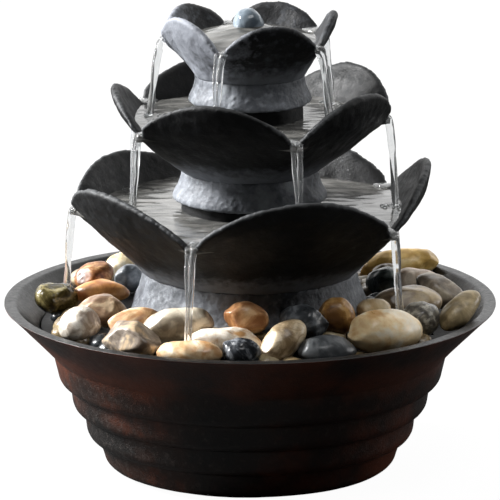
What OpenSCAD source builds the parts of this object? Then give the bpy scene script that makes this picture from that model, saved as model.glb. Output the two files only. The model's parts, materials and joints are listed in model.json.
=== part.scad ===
// Three-tier tabletop water fountain: a stepped basin, a tower of three petal dishes on
// rough cast feet, river pebbles on a perforated deck, and a submersible pump below it.
// Millimetres, +Z up, origin at the middle of the underside.

/* [Basin] */
// Radius over the basin's rim
rim_r = 130.3; // [129.5:0.1:132]
// Height of the basin's rim above the table
rim_z = 89.5; // [88.5:0.1:91]
// Width of the flat lip on the rim
lip_w = 6; // [5:0.5:7]
// Height of the rubber feet
foot_h = 1.6; // [1:0.1:2.5]

/* [Tower] */
// Radius of the bottom dish at its petals
bottom_r = 95; // [93:0.5:97]
// Radius of the middle dish at its petals
middle_r = 73.5; // [72:0.5:75]
// Radius of the top dish at its petals
top_r = 45.5; // [44:0.5:47]
// Wall of a petal at its edge
petal_wall = 3.2; // [2.6:0.1:4]
// Shape of a petal's edge: lower is blunter
petal_arch = 0.68; // [0.6:0.02:0.8]

/* [Pump] */
// Height of the pump's shaft above the table
shaft_z = 30; // [29:0.5:31]
// Outer radius of the riser tube
tube_r = 8; // [7.8:0.1:8.2]
// Bore radius of the riser tube
tube_bore_r = 6.35; // [6.3:0.05:6.4]

/* [Hidden] */
$fn = 96;

// Pebbles: name, centre, [length, width, height], [roll, tilt, turn], shape number, colour
PEBBLES = [
    ["pebble_olive_wet", [-103, 2, 90], [21, 19, 15], [0, 10, 20], 1, "#5a5034"],
    ["pebble_rust", [-83, 25, 96], [19, 17, 13], [0, -20, 30], 2, "#8a5a3c"],
    ["pebble_orange_long", [-79, 6, 92], [28, 16, 12], [0, -3, -8], 3, "#a8703f"],
    ["pebble_cream_back", [-69, 54, 93], [18, 17, 16], [0, 0, 30], 4, "#cdbb90"],
    ["pebble_bluegrey", [-65, 36, 92], [15, 14, 14], [0, 0, 60], 5, "#5c6670"],
    ["pebble_brown_lumpy", [-78, -24, 90], [26, 18, 15], [0, -12, 12], 6, "#8d7862"],
    ["pebble_white_lobed", [-88, -50, 89], [23, 18, 16], [0, -5, 35], 7, "#c2b8a2"],
    ["pebble_cream_left", [-61, -56, 91], [27, 17, 14], [0, -8, 8], 8, "#c6a67c"],
    ["pebble_long_grey", [-37, -69, 94], [37, 16, 15], [0, -10, -4], 9, "#a39a84"],
    ["pebble_grey_lumpy", [-61, -82, 89], [35, 19, 16], [0, 2, -34], 10, "#85796a"],
    ["pebble_white_front", [-13, -85, 88.5], [37, 18, 13], [0, 3, 4], 11, "#cfc5b0"],
    ["pebble_cream_front", [-31, -101, 87], [31, 16, 12], [0, 0, -12], 12, "#cbaa7e"],
    ["pebble_charcoal", [-5, -101, 88], [19, 15, 13], [0, 0, 20], 13, "#34363a"],
    ["pebble_peach", [-2, -71, 98], [22, 14, 15], [0, 12, 0], 14, "#b98d6a"],
    ["pebble_wedge", [17, -89, 90], [27, 16, 15], [0, -28, 40], 15, "#a89a78"],
    ["pebble_facet", [28, -71, 96], [23, 15, 15], [0, 6, -10], 16, "#4d555c"],
    ["pebble_orange_brown", [45, -59, 96], [19, 15, 17], [0, 10, 30], 17, "#9a6d44"],
    ["pebble_dark_oval", [39, -93, 87], [30, 18, 13], [0, 3, 14], 18, "#45484a"],
    ["pebble_big_cream", [69, -71, 91], [40, 24, 20], [0, 6, 30], 19, "#cdbb84"],
    ["pebble_small_cream", [64, -46, 96], [18, 12, 10], [0, 0, 30], 20, "#c9bb94"],
    ["pebble_green_black", [71, 24, 92], [19, 16, 16], [0, -30, 60], 21, "#3c4440"],
    ["pebble_brown_oval", [84, -8, 90], [37, 22, 15], [0, 2, 10], 22, "#83705a"],
    ["pebble_pinkish", [90, 39, 89], [23, 17, 13], [0, 5, -20], 23, "#b5a28e"],
    ["pebble_grey_brown", [101, 14, 90], [26, 19, 14], [0, 25, -12], 24, "#7d7263"],
    ["pebble_quartz", [89, -40, 89], [23, 18, 17], [0, 5, 60], 25, "#6e6a60"],
    ["pebble_tan_long", [109, -38, 93], [27, 15, 12], [0, -30, 40], 26, "#9c8a68"],
    ["pebble_ochre_back", [82, 72, 91], [38, 20, 15], [0, -6, 10], 27, "#b89a58"],
];
// Pebbles that lie at the back or under the others
BACK_PEBBLES = [
    ["", [-45, 70, 91], [26, 18, 14], [0, 0, 20], 31],
    ["", [-18, 84, 90], [30, 19, 14], [0, 5, -8], 32],
    ["", [12, 78, 91], [24, 18, 15], [0, 0, 40], 33],
    ["", [40, 84, 90], [28, 18, 13], [0, -5, -25], 34],
    ["", [50, 62, 92], [20, 15, 13], [0, 0, 50], 35],
    ["", [-55, 92, 89], [24, 17, 12], [0, 8, -30], 36],
    ["", [73, 48, 91], [16, 13, 12], [0, 0, 0], 37],
    ["", [-88, 47, 89], [20, 16, 12], [0, 8, 40], 38],
    ["", [4, 98, 86], [26, 18, 12], [0, 0, 12], 39],
    ["", [-28, 102, 86], [22, 17, 12], [0, 0, 30], 40],
];

// Basin outline: one crease between each two bands, [radius, height]
creases = [[81, 16], [88.3, 31], [95.8, 46], [104.5, 63]];
base_r = 71;
step_w = 6.2;
step_h = 6.6;
floor_z = 5.1;
ledge_z = 74;
ledge_r = 111;
cord_hole_z = 56;
cord_hole_r = 5;
cord_pad_r = 9;
cord_y = [94, 104.6];

// Deck
deck_r = 110.6;
deck_top = 84;
deck_flat_r = 69;
deck_t = 4;

// Dishes: height and radius of each seat, where the foot below ends
bottom_seat = [56.3, 107];
middle_seat = [35.6, 161];
top_seat = [28.6, 212];
bottom_tips = [163, 165, 158, 157, 160];
middle_tips = [209, 208, 207, 205.5, 209];
top_tips = [245, 245, 242.5, 243.5, 246.5];
bottom_notch_z = 137;
middle_notch_z = 186.5;
top_notch_z = 228.5;
bottom_boss = [36, 145.6];
middle_boss = [27, 197.4];
floor_t = 5.5;
dish_columns = 80;

// Tube guides
guide_r = 11;
guide_clear = 0.35;
tube_z = [47, 209];

// Pump
well_r = 7.6;
magnet_r = 7;
shaft_r = 1;
shaft_clear = 0.05;
chamber_r = 15;
chamber_wall = 2;
front_y = 8;
housing_y = [front_y, 48];
housing_w = 38;
housing_h = 36;
housing_wall = 2.2;
pump_bottom = shaft_z - housing_h / 2;
strainer_y = [-22, 7.7];
cup_places = [[-13, 15], [13, 15], [-13, 42], [13, 42]];
foot_places = [45, 135, 225, 315];
foot_ring_r = 58;

PEBBLE_NODES = [for (p = PEBBLES) p[0]];

// ---- helpers ----

// Points of a quarter ellipse that runs out from [r, z] and turns upwards
function step_arc(r, z, w, h, n = 6) = [for (i = [0:n]) [r + w * sin(90 * i / n), z + h * (1 - cos(90 * i / n))]];

function wrap(a) = a - 360 * floor(a / 360);

// A cylinder between two heights of the Y axis, at the height of the pump's shaft
module along_y(r, y, x = 0, z = shaft_z) {
    translate([x, y[0], z]) rotate([-90, 0, 0]) cylinder(r = r, h = y[1] - y[0]);
}

// A block with four rounded edges along Y, centred on the shaft
module y_block(w, h, y, r) {
    translate([-w / 2 + r, y[0], shaft_z - h / 2]) cube([w - 2 * r, y[1] - y[0], h]);
    translate([-w / 2, y[0], shaft_z - h / 2 + r]) cube([w, y[1] - y[0], h - 2 * r]);
    for (sx = [-1, 1], sz = [-1, 1])
        along_y(r, y, sx * (w / 2 - r), shaft_z + sz * (h / 2 - r));
}

// Turned shape from [radius, height] points
module turned(points) {
    rotate_extrude() polygon(points);
}

module ring(r_out, r_in, z) {
    difference() {
        translate([0, 0, z[0]]) cylinder(r = r_out, h = z[1] - z[0]);
        translate([0, 0, z[0] - 1]) cylinder(r = r_in, h = z[1] - z[0] + 2);
    }
}

// Shell of a petal dish: five petals, with a pouring notch between each two.
// seat is the [radius, height] of its underside, tips the height of each petal's tip.
module petal_shell(seat, tip_r, notch_z, tips, notch_a, bend, keel, spout, hole_r) {
    height = max(tips) - seat[1];
    notch_u = (notch_z - seat[1]) / height;
    dish_floor = seat[1] + floor_t;
    edge = 1.3;
    rows_out = 7;
    rows_in = 5;

    // 0 at a notch, 1 at the middle of a petal
    function openness(a) = abs(sin(2.5 * (a - notch_a)));
    function edge_z(a) = notch_z
        + (tips[floor(wrap(a - notch_a + 0.01) / 72)] - notch_z) * pow(openness(a), petal_arch);
    function lobe_r(z, a) = let (u = (z - seat[1]) / height, v = 1 - openness(a))
        seat[0] + (tip_r - seat[0]) * sin(90 * pow(u, bend))
        + keel * pow(v, 1.5) * min(1, u / 0.35)
        + spout * pow(v, 4) * max(0, (u / notch_u - 0.7) / 0.3);
    function wall(z, a) = petal_wall + 2.6 * (1 - (z - seat[1]) / (edge_z(a) - seat[1]));
    function mix(a, b, i, n) = a + (b - a) * i / n;
    function section(a) = let (top = edge_z(a), side = top - edge) concat(
        [[hole_r, seat[1]]],
        [for (i = [0:rows_out]) let (z = mix(seat[1], side, i, rows_out)) [lobe_r(z, a), z]],
        [[lobe_r(top, a) - petal_wall / 2, top]],
        [for (i = [rows_in:-1:0]) let (z = mix(dish_floor, side, i, rows_in)) [lobe_r(z, a) - wall(z, a), z]],
        [[hole_r, dish_floor]]);

    rows = rows_out + rows_in + 5;
    points = [for (j = [0:dish_columns - 1]) let (a = notch_a + 360 * j / dish_columns)
        for (p = section(a)) [p[0] * cos(a), p[0] * sin(a), p[1]]];
    faces = [for (j = [0:dish_columns - 1], i = [0:rows - 1])
        let (a0 = j * rows + i, a1 = j * rows + (i + 1) % rows,
             b0 = ((j + 1) % dish_columns) * rows + i,
             b1 = ((j + 1) % dish_columns) * rows + (i + 1) % rows)
        for (f = [[a0, a1, b1], [a0, b1, b0]]) f];
    polyhedron(points, faces, convexity = 8);
}

// Raised seat in a dish for the foot above: a hollow post with a spigot and a guide hole
module foot_seat(outer_r, bottom, top) {
    post_wall = 5.5;
    spigot_r = outer_r - 5.4;
    spigot_h = 3;
    plate_t = 6;
    turned([
        [outer_r - post_wall, bottom], [outer_r, bottom], [outer_r, top], [spigot_r, top],
        [spigot_r, top + spigot_h], [spigot_r - 3, top + spigot_h], [spigot_r - 3, top],
        [guide_r, top], [guide_r, top - plate_t], [outer_r - post_wall, top - plate_t]]);
}

// Rubber guide that holds the riser tube in a foot seat
module tube_bush(top) {
    plate_t = 6;
    flange = [guide_r + 1.6, 1.4];
    bore = tube_r + guide_clear;
    turned([
        [bore, top - plate_t], [guide_r, top - plate_t], [guide_r, top], [flange[0], top],
        [flange[0], top + flange[1]], [bore, top + flange[1]]]);
}

// River pebble: an ellipsoid with slow bumps that depend on its shape number
function bump(n, lat, lon) = 1 + 0.05 * sin(2 * lon + 97 * n) + 0.04 * sin(3 * lon + 61 * n)
    + 0.04 * cos(lat) * sin(lon + 143 * n) + 0.03 * sin(2 * lat + 29 * n);
module pebble(p) {
    rows = 8;
    columns = 12;
    half = p[2] / 2;
    points = concat([[0, 0, -half[2]]],
        [for (i = [1:rows - 1], j = [0:columns - 1])
            let (lat = -90 + 180 * i / rows, lon = 360 * j / columns, f = bump(p[4], lat, lon))
            [half[0] * f * cos(lat) * cos(lon), half[1] * f * cos(lat) * sin(lon), half[2] * f * sin(lat)]],
        [[0, 0, half[2]]]);
    last = len(points) - 1;
    faces = concat(
        [for (j = [0:columns - 1]) [0, 1 + j, 1 + (j + 1) % columns]],
        [for (i = [0:rows - 3], j = [0:columns - 1])
            let (a = 1 + i * columns + j, b = 1 + i * columns + (j + 1) % columns)
            for (f = [[a, a + columns, b + columns], [a, b + columns, b]]) f],
        [for (j = [0:columns - 1]) let (k = last - columns) [last, k + (j + 1) % columns, k + j]]);
    translate(p[1]) rotate(p[3]) polyhedron(points, faces, convexity = 2);
}

// ---- basin ----

module basin() {
    lip_in = rim_r - lip_w;
    outer = concat(
        [[0, foot_h], [base_r, foot_h]],
        step_arc(base_r, foot_h, 7, 6),
        [for (c = creases) each step_arc(c[0], c[1], c == creases[3] ? 1 : step_w, c == creases[3] ? 1 : step_h)],
        [[rim_r - 0.6, rim_z - 1.6], [rim_r, rim_z - 0.8], [rim_r - 0.4, rim_z]]);
    inner = [
        [lip_in, rim_z], [lip_in - 0.8, rim_z - 0.7], [lip_in - 1.6, rim_z - 1.8], [ledge_r, 76],
        [ledge_r, ledge_z], [103, ledge_z], [100.3, 62], [98.5, 54], [91.8, 45], [90.5, 38],
        [84.2, 30.5], [83, 23], [77, 15.5], [75, 9], [71, floor_z], [0, floor_z]];
    color("#2c211d") difference() {
        union() {
            turned(concat(outer, inner));
            along_y(cord_pad_r, cord_y, 0, cord_hole_z);
        }
        along_y(cord_hole_r, [cord_y[0] - 5, cord_y[1] + 5], 0, cord_hole_z);
    }
}

module rubber_feet() {
    color("#1a1a1a") for (a = foot_places)
        rotate(a) translate([foot_ring_r, 0, 0]) {
            cylinder(r1 = 8.4, r2 = 9, h = 0.6);
            translate([0, 0, 0.6]) cylinder(r = 9, h = foot_h - 0.6);
        }
}

module cord_grommet() {
    flange_r = 7.5;
    flange_t = 1.6;
    color("#141414") translate([0, 0, cord_hole_z]) rotate([-90, 0, 0]) difference() {
        union() {
            translate([0, 0, cord_y[0] - flange_t]) cylinder(r = flange_r, h = flange_t);
            translate([0, 0, cord_y[0]]) cylinder(r = cord_hole_r, h = cord_y[1] - cord_y[0]);
            translate([0, 0, cord_y[1]]) cylinder(r = flange_r, h = flange_t);
        }
        translate([0, 0, cord_y[0] - 5]) cylinder(r = 2.6, h = 25);
    }
}

// ---- deck and pebbles ----

module stone_deck() {
    drain_rings = [[76, 12], [88, 16], [99, 20]];
    slope_end = 77;
    color("#26221f") difference() {
        turned([
            [12, deck_top - deck_t], [12, deck_top], [53, deck_top], [53, deck_top + 3],
            [55.4, deck_top + 3], [55.4, deck_top], [deck_flat_r, deck_top], [deck_r, slope_end],
            [deck_r, ledge_z], [103.5, ledge_z], [103.5, 75], [deck_flat_r, deck_top - deck_t]]);
        for (d = drain_rings, i = [1:d[1]])
            rotate(360 * i / d[1]) translate([d[0], 0, 60]) cylinder(r = 2.2, h = 40);
    }
}

module back_pebbles() {
    color("#8a7d68") for (p = BACK_PEBBLES) pebble(p);
}

// ---- tiers ----

module bottom_dish() {
    color("#2a2b2d") {
        petal_shell(bottom_seat, bottom_r, bottom_notch_z, bottom_tips, -109, 1.08, 6.3, 3.2, bottom_boss[0] - 3);
        foot_seat(bottom_boss[0], bottom_seat[1] + 1, bottom_boss[1]);
    }
}

module middle_dish() {
    color("#2a2b2d") {
        petal_shell(middle_seat, middle_r, middle_notch_z, middle_tips, -71, 1.0, 5.2, 3, middle_boss[0] - 3);
        foot_seat(middle_boss[0], middle_seat[1] + 1, middle_boss[1]);
    }
}

module top_dish() {
    hub = [[10, 213], [16, 213], [16, 218.5], [10, 218.5]];
    color("#2a2b2d") {
        petal_shell(top_seat, top_r, top_notch_z, top_tips, -110, 1.25, 4, 2.5, 13);
        turned(hub);
    }
}

module bottom_pedestal() {
    color("#74787c") turned([
        [57, 84], [63.7, 84], [63.4, 85.5], [62.1, 89], [59.6, 95], [57.6, 101], [56.5, bottom_seat[1]],
        [49, bottom_seat[1]], [51.5, 96], [55.6, 88]]);
}

module middle_pedestal() {
    color("#74787c") turned([
        [31, 145.6], [40.2, 145.6], [40.8, 146.4], [40.2, 148.6], [38, 152.6], [36.3, 157], [35.8, middle_seat[1]],
        [29, middle_seat[1]], [30.9, 149]]);
}

module top_pedestal() {
    color("#74787c") turned([
        [22, 197.4], [31.9, 197.4], [32.4, 198.2], [31.7, 200.4], [29.9, 204.4], [29, 208], [28.8, top_seat[1]],
        [20.5, top_seat[1]], [21.9, 201]]);
}

module bottom_tube_bush() {
    color("#1c1c1c") tube_bush(bottom_boss[1]);
}

module middle_tube_bush() {
    color("#1c1c1c") tube_bush(middle_boss[1]);
}

module nozzle_seal() {
    color("#1c1c1c") turned([[6.1, 211], [10, 211], [10, 218.5], [12.5, 218.5], [12.5, 219.4], [6.1, 219.4]]);
}

module outlet_nozzle() {
    color("#222426") turned([
        [4.6, 200], [6.1, 200], [6.1, 219.4], [9, 219.4], [9, 221], [6.6, 222], [6.2, 231],
        [5.4, 232.2], [4.6, 232.2]]);
}

module riser_tube() {
    color("#c8d0d4", 0.6) ring(tube_r, tube_bore_r, tube_z);
}

// ---- pump ----

module pump_housing() {
    inner_w = housing_w - 2 * housing_wall;
    inner_h = housing_h - 2 * housing_wall;
    color("#1d1e20") difference() {
        union() {
            difference() {
                y_block(housing_w, housing_h, housing_y, 4);
                y_block(inner_w, inner_h, [front_y + 2.5, housing_y[1] + 1], 2.5);
            }
            along_y(well_r + 1.6, [front_y + 1, 34.5]);
        }
        along_y(well_r, [front_y - 1, 33]);
        difference() {
            along_y(17.2, [front_y - 1, front_y + 1.5]);
            along_y(15.2, [front_y - 2, front_y + 2]);
        }
    }
}

module pump_back_cap() {
    spigot = 0.1 + housing_wall;
    color("#1d1e20") difference() {
        union() {
            y_block(housing_w, housing_h, [housing_y[1], housing_y[1] + 2.5], 4);
            difference() {
                y_block(housing_w - 2 * spigot, housing_h - 2 * spigot, [housing_y[1] - 1.5, housing_y[1]], 2.4);
                y_block(housing_w - 8, housing_h - 8, [housing_y[1] - 2, housing_y[1] + 0.5], 1);
            }
            along_y(6.5, [housing_y[1] + 2, housing_y[1] + 6]);
        }
        along_y(4, [housing_y[1] - 1, housing_y[1] + 7]);
    }
}

module pump_cord_gland() {
    y0 = housing_y[1];
    color("#141414") difference() {
        union() {
            along_y(4, [y0 + 0.5, y0 + 6]);
            along_y(6.2, [y0 + 6, y0 + 8]);
            translate([0, y0 + 8, shaft_z]) rotate([-90, 0, 0]) cylinder(r1 = 5, r2 = 4, h = 7);
        }
        along_y(2.6, [y0 - 1, y0 + 16]);
    }
}

module pump_stator_core() {
    stack_z = [22, 38];
    leg_x = [9.6, 15.4];
    core_y = [12, 43];
    yoke_y = 38;
    stack = stack_z[1] - stack_z[0];
    color("#6d6f72") difference() {
        union() {
            for (s = [0, 1]) mirror([s, 0, 0])
                translate([7.5, core_y[0], stack_z[0]]) cube([leg_x[1] - 7.5, 20, stack]);
            for (s = [0, 1]) mirror([s, 0, 0])
                translate([leg_x[0], core_y[0], stack_z[0]]) cube([leg_x[1] - leg_x[0], core_y[1] - core_y[0], stack]);
            translate([-leg_x[1], yoke_y, stack_z[0]]) cube([2 * leg_x[1], core_y[1] - yoke_y, stack]);
        }
        along_y(well_r + 1.8, [core_y[0] - 1, 35]);
    }
}

// Frame of a rectangular tube along X around the yoke: y and z are its outer limits
module yoke_frame(x, y, z, hole_y, hole_z) {
    difference() {
        translate([x[0], y[0], z[0]]) cube([x[1] - x[0], y[1] - y[0], z[1] - z[0]]);
        translate([x[0] - 1, hole_y[0], hole_z[0]])
            cube([x[1] - x[0] + 2, hole_y[1] - hole_y[0], hole_z[1] - hole_z[0]]);
    }
}

module coil_bobbin() {
    color("#d8d4c8") {
        yoke_frame([-9.2, 9.2], [37, 44], [21, 39], [37.8, 43.2], [21.8, 38.2]);
        for (x = [-9.4, 8.4])
            yoke_frame([x, x + 1], [34.8, 46.3], [18.5, 41.5], [37.8, 43.2], [21.8, 38.2]);
    }
}

module pump_coil() {
    color("#a85a2a") yoke_frame([-8.4, 8.4], [35.2, 45.8], [19.2, 40.8], [37, 44], [21, 39]);
}

module rotor_magnet() {
    color("#3a3a3e") difference() {
        along_y(magnet_r, [9.5, 29.5]);
        along_y(shaft_r + shaft_clear, [8, 31]);
    }
}

module impeller_wheel() {
    blades = 6;
    blade_t = 1.4;
    blade_r = 12;
    color("#e6e4dc") difference() {
        union() {
            along_y(4, [-5, 9.5]);
            along_y(blade_r, [4.6, 6]);
            for (i = [1:blades])
                translate([0, 0, shaft_z]) rotate([0, 360 * i / blades, 0])
                    translate([2, -4.5, -blade_t / 2]) cube([blade_r - 2, 9.6, blade_t]);
        }
        along_y(shaft_r + shaft_clear, [-6, 11]);
    }
}

module impeller_shaft() {
    color("#efeee9") along_y(shaft_r, [-8.6, 32.6]);
}

module shaft_bush(y) {
    difference() {
        along_y(2.6, y);
        along_y(shaft_r, [y[0] - 1, y[1] + 1]);
    }
}

module front_shaft_bush() {
    color("#2a2a2a") shaft_bush([-8.8, -5.6]);
}

module rear_shaft_bush() {
    color("#2a2a2a") difference() {
        along_y(well_r, [30.2, 33]);
        along_y(shaft_r, [29, 34]);
    }
}

module volute_cover() {
    outer_r = chamber_r + chamber_wall;
    spider_y = [-8.8, -6];
    outlet_r = tube_bore_r - 0.05;
    color("#2a2c2f") difference() {
        union() {
            difference() {
                union() {
                    along_y(outer_r, [-8, front_y]);
                    translate([0, 0, shaft_z + 12]) cylinder(r = outlet_r, h = 14);
                }
                along_y(chamber_r, [-6, front_y + 1]);
                along_y(8, [-10, 0]);
                translate([0, 0, shaft_z + 10]) cylinder(r = 4.8, h = 20);
            }
            along_y(4.4, spider_y);
            for (i = [0:2])
                translate([0, 0, shaft_z]) rotate([0, 120 * i + 30, 0])
                    translate([3.5, -8, -0.9]) cube([5.5, 2, 1.8]);
        }
        along_y(2.6, [-10, -5]);
    }
}

module volute_o_ring() {
    color("#101010") translate([0, front_y + 0.75, shaft_z]) rotate([-90, 0, 0])
        rotate_extrude() translate([16.2, 0]) circle(r = 0.75, $fn = 24);
}

module strainer_cover() {
    wall = 0.8;
    slit_w = 1.8;
    color("#26282b") difference() {
        y_block(housing_w - 0.4, housing_h, strainer_y, 4);
        y_block(housing_w - 0.4 - 2 * wall, housing_h - 2 * wall, [strainer_y[0] + 2, strainer_y[1] + 1], 3.2);
        translate([-tube_r - 0.6, -tube_r - 0.6, shaft_z]) cube([2 * tube_r + 1.2, 40, 30]);
        for (i = [-3:3])
            if (i != 0) translate([i * 4.4 - slit_w / 2, strainer_y[0] - 1, shaft_z - 12]) cube([slit_w, 4, 24]);
        along_y(2.05, [strainer_y[0] - 1, strainer_y[0] + 3]);
    }
}

module flow_dial() {
    y0 = strainer_y[0];
    color("#3b3e42") difference() {
        union() {
            along_y(7.5, [y0 - 2.6, y0 - 0.3]);
            along_y(2, [y0 - 0.4, y0 + 2.4]);
            along_y(2.7, [y0 + 2.3, y0 + 3.4]);
            translate([-0.8, y0 - 4, shaft_z - 6.5]) cube([1.6, 1.6, 13]);
        }
        for (a = [45:90:315])
            translate([5 * cos(a), y0 - 4, shaft_z + 5 * sin(a)]) rotate([-90, 0, 0]) cylinder(r = 1.4, h = 5);
    }
}

module suction_cups() {
    color("#4c4f52") for (p = cup_places) translate([p[0], p[1], 0])
        turned([
            [0, 8.4], [3, 8], [5.6, floor_z], [6.6, floor_z], [5, 8.2], [3, 10.2], [2.6, pump_bottom], [0, pump_bottom]]);
}

// ---- assembly ----

basin();
rubber_feet();
cord_grommet();
stone_deck();
bottom_dish();
bottom_pedestal();
bottom_tube_bush();
middle_dish();
middle_pedestal();
middle_tube_bush();
top_dish();
top_pedestal();
outlet_nozzle();
nozzle_seal();
riser_tube();
pump_housing();
pump_back_cap();
pump_cord_gland();
pump_stator_core();
coil_bobbin();
pump_coil();
rotor_magnet();
impeller_wheel();
impeller_shaft();
front_shaft_bush();
rear_shaft_bush();
volute_cover();
volute_o_ring();
strainer_cover();
flow_dial();
suction_cups();
back_pebbles();
for (p = PEBBLES)
    color(p[5]) pebble(p);
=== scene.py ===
"""Three-tier tabletop water fountain: looks and running water round the fixed CAD frame."""
import json
import math
import random

import bpy
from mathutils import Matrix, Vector, noise


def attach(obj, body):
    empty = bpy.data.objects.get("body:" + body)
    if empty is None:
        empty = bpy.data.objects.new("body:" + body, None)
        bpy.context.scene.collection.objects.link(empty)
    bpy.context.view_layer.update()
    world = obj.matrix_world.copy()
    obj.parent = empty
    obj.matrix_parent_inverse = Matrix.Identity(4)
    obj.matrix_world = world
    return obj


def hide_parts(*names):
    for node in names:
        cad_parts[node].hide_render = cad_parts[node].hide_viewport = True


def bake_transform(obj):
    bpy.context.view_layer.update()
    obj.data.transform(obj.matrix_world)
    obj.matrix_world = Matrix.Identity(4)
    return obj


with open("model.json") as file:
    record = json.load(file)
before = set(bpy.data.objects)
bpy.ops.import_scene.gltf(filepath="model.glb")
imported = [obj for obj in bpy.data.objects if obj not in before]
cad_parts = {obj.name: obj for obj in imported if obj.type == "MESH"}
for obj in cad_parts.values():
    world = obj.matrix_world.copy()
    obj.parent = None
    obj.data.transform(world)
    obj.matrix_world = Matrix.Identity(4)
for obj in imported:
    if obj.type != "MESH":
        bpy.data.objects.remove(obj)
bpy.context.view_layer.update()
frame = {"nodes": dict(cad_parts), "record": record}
MM = 0.001


# ---- camera, floor and light ----

CAMERA_HEIGHT = 13.8     # degrees above the horizon
CAMERA_DISTANCE = 2.65   # metres from the middle of the fountain
CAMERA_LENS = 361.0      # mm on a 36 mm sensor, a long portrait lens
MIDDLE = Vector((0, 0, 0.1166))


def make_camera():
    tilt = math.radians(CAMERA_HEIGHT)
    camera = bpy.data.objects.new("camera", bpy.data.cameras.new("camera"))
    camera.data.lens = CAMERA_LENS
    camera.data.sensor_width = 36
    camera.data.clip_end = 60
    camera.location = MIDDLE + CAMERA_DISTANCE * Vector((0, -math.cos(tilt), math.sin(tilt)))
    camera.rotation_euler = (math.radians(90) - tilt, 0, 0)
    bpy.context.collection.objects.link(camera)
    bpy.context.scene.camera = camera


make_camera()


def colour(code):
    """sRGB hex to linear RGBA."""
    parts = [int(code[i:i + 2], 16) / 255 for i in (1, 3, 5)]
    linear = [c / 12.92 if c <= 0.04045 else ((c + 0.055) / 1.055) ** 2.4 for c in parts]
    return (*linear, 1.0)


def add_node(tree, kind, inputs=None, **settings):
    """Adds a node with its settings; inputs are values, or output sockets to link."""
    node = tree.nodes.new(kind)
    for name, value in settings.items():
        setattr(node, name, value)
    for socket, value in (inputs or {}).items():
        if isinstance(value, bpy.types.NodeSocket):
            tree.links.new(value, node.inputs[socket])
        else:
            node.inputs[socket].default_value = value
    return node


def ramp(tree, factor, stops):
    """A colour ramp from (place, hex) stops; a number in place of hex is a grey."""
    node = add_node(tree, "ShaderNodeValToRGB", {"Fac": factor})
    elements = node.color_ramp.elements
    while len(elements) < len(stops):
        elements.new(0.5)
    for element, (place, value) in zip(elements, stops):
        element.position = place
        element.color = colour(value) if isinstance(value, str) else (value, value, value, 1)
    return node.outputs["Color"]


def new_material(name, **constants):
    """A material with a Principled shader, whose constants sit on its own sockets."""
    material = bpy.data.materials.new(name)
    material.use_nodes = True
    tree = material.node_tree
    tree.nodes.clear()
    shader = add_node(tree, "ShaderNodeBsdfPrincipled",
                      {k.replace("_", " "): v for k, v in constants.items()})
    add_node(tree, "ShaderNodeOutputMaterial", {"Surface": shader.outputs[0]})
    place = add_node(tree, "ShaderNodeTexCoord").outputs["Object"]
    return material, tree, shader, place


def link(tree, output, shader, socket):
    tree.links.new(output, shader.inputs[socket])


PAPER_GREY = 0.05        # the floor throws little light up, so the undersides stay dark
BACKDROP_GLOW = 0.97     # seen by the camera and through the water as a white backdrop


def make_stage():
    bpy.ops.object.select_all(action="DESELECT")
    bpy.ops.mesh.primitive_plane_add(size=60, location=(0, 0, 0))
    floor = bpy.context.object
    floor.name = "floor"
    material = bpy.data.materials.new("Seamless paper, white")
    material.use_nodes = True
    tree = material.node_tree
    tree.nodes.clear()
    matt = add_node(tree, "ShaderNodeBsdfDiffuse", {"Color": (*[PAPER_GREY] * 3, 1)})
    lit = add_node(tree, "ShaderNodeEmission", {"Color": (1, 1, 1, 1), "Strength": BACKDROP_GLOW})
    glow = add_node(tree, "ShaderNodeAddShader", {0: matt.outputs[0], 1: lit.outputs[0]})
    path = add_node(tree, "ShaderNodeLightPath")
    seen = add_node(tree, "ShaderNodeMath", {0: path.outputs["Is Camera Ray"],
                                             1: path.outputs["Is Transmission Ray"]},
                    operation="MAXIMUM")
    mixed = add_node(tree, "ShaderNodeMixShader", {0: seen.outputs[0], 1: matt.outputs[0],
                                                   2: glow.outputs[0]})
    add_node(tree, "ShaderNodeOutputMaterial", {"Surface": mixed.outputs[0]})
    floor.data.materials.append(material)


FRONT_SKY, BACK_SKY, LEFT_SKY = 0.004, 1.6, 0.1    # strength of the surroundings by side


def make_world():
    """Soft studio light: bright behind and above, dark in front."""
    world = bpy.data.worlds.new("studio")
    bpy.context.scene.world = world
    world.use_nodes = True
    tree = world.node_tree
    tree.nodes.clear()
    way = add_node(tree, "ShaderNodeTexCoord").outputs["Generated"]
    split = add_node(tree, "ShaderNodeSeparateXYZ", {0: way})
    back = add_node(tree, "ShaderNodeMapRange", {"Value": split.outputs["Y"], "From Min": 0.0,
                                                 "From Max": 0.8, "To Min": FRONT_SKY,
                                                 "To Max": BACK_SKY},
                    interpolation_type="SMOOTHSTEP")
    side = add_node(tree, "ShaderNodeMapRange", {"Value": split.outputs["X"], "From Min": -0.3,
                                                 "From Max": -1.0, "To Min": 0.0,
                                                 "To Max": LEFT_SKY},
                    interpolation_type="SMOOTHSTEP")
    both = add_node(tree, "ShaderNodeMath", {0: back.outputs[0], 1: side.outputs[0]},
                    operation="ADD")
    sky = add_node(tree, "ShaderNodeBackground", {"Color": (1, 1, 1, 1),
                                                  "Strength": both.outputs[0]})
    add_node(tree, "ShaderNodeOutputWorld", {"Surface": sky.outputs[0]})


def area_light(name, place, size, power):
    light = bpy.data.objects.new(name, bpy.data.lights.new(name, "AREA"))
    light.data.size = size
    light.data.energy = power
    light.location = place
    light.rotation_euler = (MIDDLE - Vector(place)).to_track_quat("-Z", "Y").to_euler()
    bpy.context.collection.objects.link(light)


make_stage()
make_world()
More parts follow.
